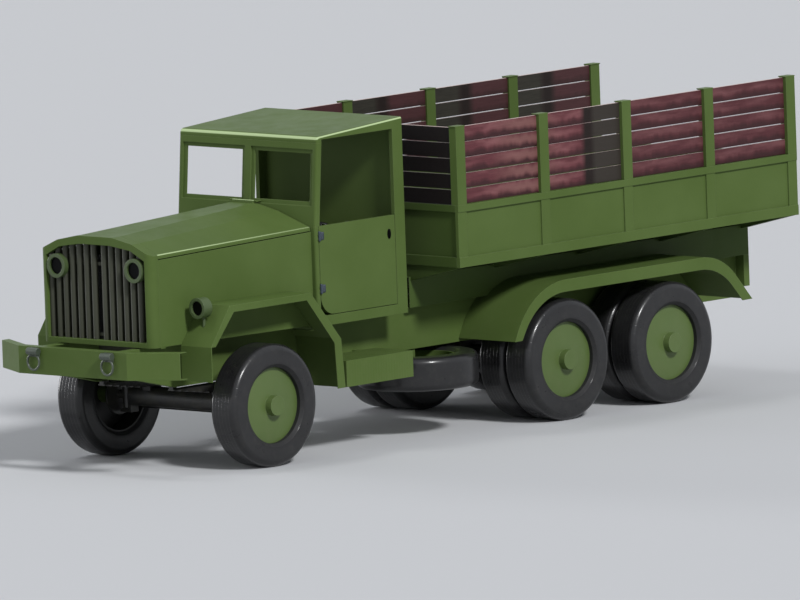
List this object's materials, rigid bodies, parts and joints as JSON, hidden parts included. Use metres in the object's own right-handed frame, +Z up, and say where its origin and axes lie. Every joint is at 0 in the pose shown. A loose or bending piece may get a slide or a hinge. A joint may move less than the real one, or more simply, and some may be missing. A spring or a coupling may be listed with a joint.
{
  "type": "military cargo truck",
  "caption": "Six-wheel-drive military cargo truck with a long hood, half-door cab, slatted cargo bed, twin rear wheels and working steering, doors, hood and tailgate.",
  "frame": {"origin": "on the ground, under the middle of the truck's bounding box", "axes": "+Z up, -Y towards the front bumper, +X towards the vehicle's left side"},
  "size_m": [2.45, 8.3219, 2.888],
  "materials": {
    "tyre": "gloss",
    "olive_paint": "satin",
    "dark_metal": "satin",
    "black_lens": "gloss",
    "wood_slats": "matt",
    "seat_cloth": "matt"
  },
  "bodies": {
    "chassis": {"bed_floor": "olive_paint", "bed_frame": "olive_paint", "bed_front_wall": "olive_paint", "bed_side_left": "olive_paint", "bed_side_right": "olive_paint", "cab_floor": "olive_paint", "cab_front": "olive_paint", "cab_shell": "olive_paint", "chassis_frame": "olive_paint", "drive_line": "dark_metal", "engine_block": "olive_paint", "front_axle": "olive_paint", "front_bumper": "olive_paint", "front_fender_left": "olive_paint", "front_fender_right": "olive_paint", "fuel_tank": "olive_paint", "grille_bars": "dark_metal", "grille_shell": "olive_paint", "hood_sides": "olive_paint", "lamp_lenses": "black_lens", "lamps": "olive_paint", "leaf_springs": "dark_metal", "rack_posts": "olive_paint", "rack_slats": "wood_slats", "radiator": "dark_metal", "rear_axles": "olive_paint", "rear_fender_left": "olive_paint", "rear_fender_right": "olive_paint", "seats": "seat_cloth", "side_steps": "olive_paint", "spare_rim": "olive_paint", "spare_tyre": "tyre", "steering_wheel": "dark_metal", "tow_shackles": "dark_metal", "windscreen_frame": "olive_paint"},
    "hood": {"hood": "olive_paint"},
    "door_left": {"door_left": "olive_paint"},
    "door_right": {"door_right": "olive_paint"},
    "tailgate": {"tailgate": "olive_paint"},
    "knuckle_left": {"knuckle_left": "dark_metal"},
    "knuckle_right": {"knuckle_right": "dark_metal"},
    "tie_rod": {"tie_rod": "dark_metal"},
    "wheel_front_left": {"tyre_front_left": "tyre", "rim_front_left": "olive_paint"},
    "wheels_middle_left": {"tyres_middle_left": "tyre", "rims_middle_left": "olive_paint"},
    "wheels_rear_left": {"tyres_rear_left": "tyre", "rims_rear_left": "olive_paint"},
    "wheel_front_right": {"tyre_front_right": "tyre", "rim_front_right": "olive_paint"},
    "wheels_middle_right": {"tyres_middle_right": "tyre", "rims_middle_right": "olive_paint"},
    "wheels_rear_right": {"tyres_rear_right": "tyre", "rims_rear_right": "olive_paint"}
  },
  "joints": [
    {"name": "steer_left", "type": "hinge", "parent": "chassis", "child": "knuckle_left", "pos_m": [0.72, -2.659, 0.545], "axis": [0, 0, 1], "range_deg": [-28, 28]},
    {"name": "steer_right", "type": "hinge", "parent": "chassis", "child": "knuckle_right", "pos_m": [-0.72, -2.659, 0.545], "axis": [0, 0, 1], "range_deg": [-28, 28]},
    {"name": "tie_rod_swing", "type": "hinge", "parent": "knuckle_left", "child": "tie_rod", "pos_m": [0.72, -2.439, 0.4495], "axis": [0, 0, 1], "range_deg": [-28, 28]},
    {"name": "hood_hinge", "type": "hinge", "parent": "chassis", "child": "hood", "pos_m": [0, -1.831, 2.224], "axis": [-1, 0, 0], "range_deg": [0, 50]},
    {"name": "door_left_hinge", "type": "hinge", "parent": "chassis", "child": "door_left", "pos_m": [0.846, -1.769, 1.704], "axis": [0, 0, -1], "range_deg": [0, 75]},
    {"name": "door_right_hinge", "type": "hinge", "parent": "chassis", "child": "door_right", "pos_m": [-0.846, -1.769, 1.704], "axis": [0, 0, 1], "range_deg": [0, 75]},
    {"name": "tailgate_hinge", "type": "hinge", "parent": "chassis", "child": "tailgate", "pos_m": [0, 4.15, 1.554], "axis": [-1, 0, 0], "range_deg": [0, 180]},
    {"name": "spin_front_left", "type": "hinge", "parent": "knuckle_left", "child": "wheel_front_left", "pos_m": [0.932, -2.659, 0.545], "axis": [1, 0, 0], "continuous": true},
    {"name": "spin_middle_left", "type": "hinge", "parent": "chassis", "child": "wheels_middle_left", "pos_m": [0.856, 1.086, 0.545], "axis": [1, 0, 0], "continuous": true},
    {"name": "spin_rear_left", "type": "hinge", "parent": "chassis", "child": "wheels_rear_left", "pos_m": [0.856, 2.473, 0.545], "axis": [1, 0, 0], "continuous": true},
    {"name": "spin_front_right", "type": "hinge", "parent": "knuckle_right", "child": "wheel_front_right", "pos_m": [-0.932, -2.659, 0.545], "axis": [1, 0, 0], "continuous": true},
    {"name": "spin_middle_right", "type": "hinge", "parent": "chassis", "child": "wheels_middle_right", "pos_m": [-0.856, 1.086, 0.545], "axis": [1, 0, 0], "continuous": true},
    {"name": "spin_rear_right", "type": "hinge", "parent": "chassis", "child": "wheels_rear_right", "pos_m": [-0.856, 2.473, 0.545], "axis": [1, 0, 0], "continuous": true}
  ],
  "couplings": [
    {"joint": "steer_right", "follows": "steer_left", "ratio": 1},
    {"joint": "tie_rod_swing", "follows": "steer_left", "ratio": -1}
  ]
}
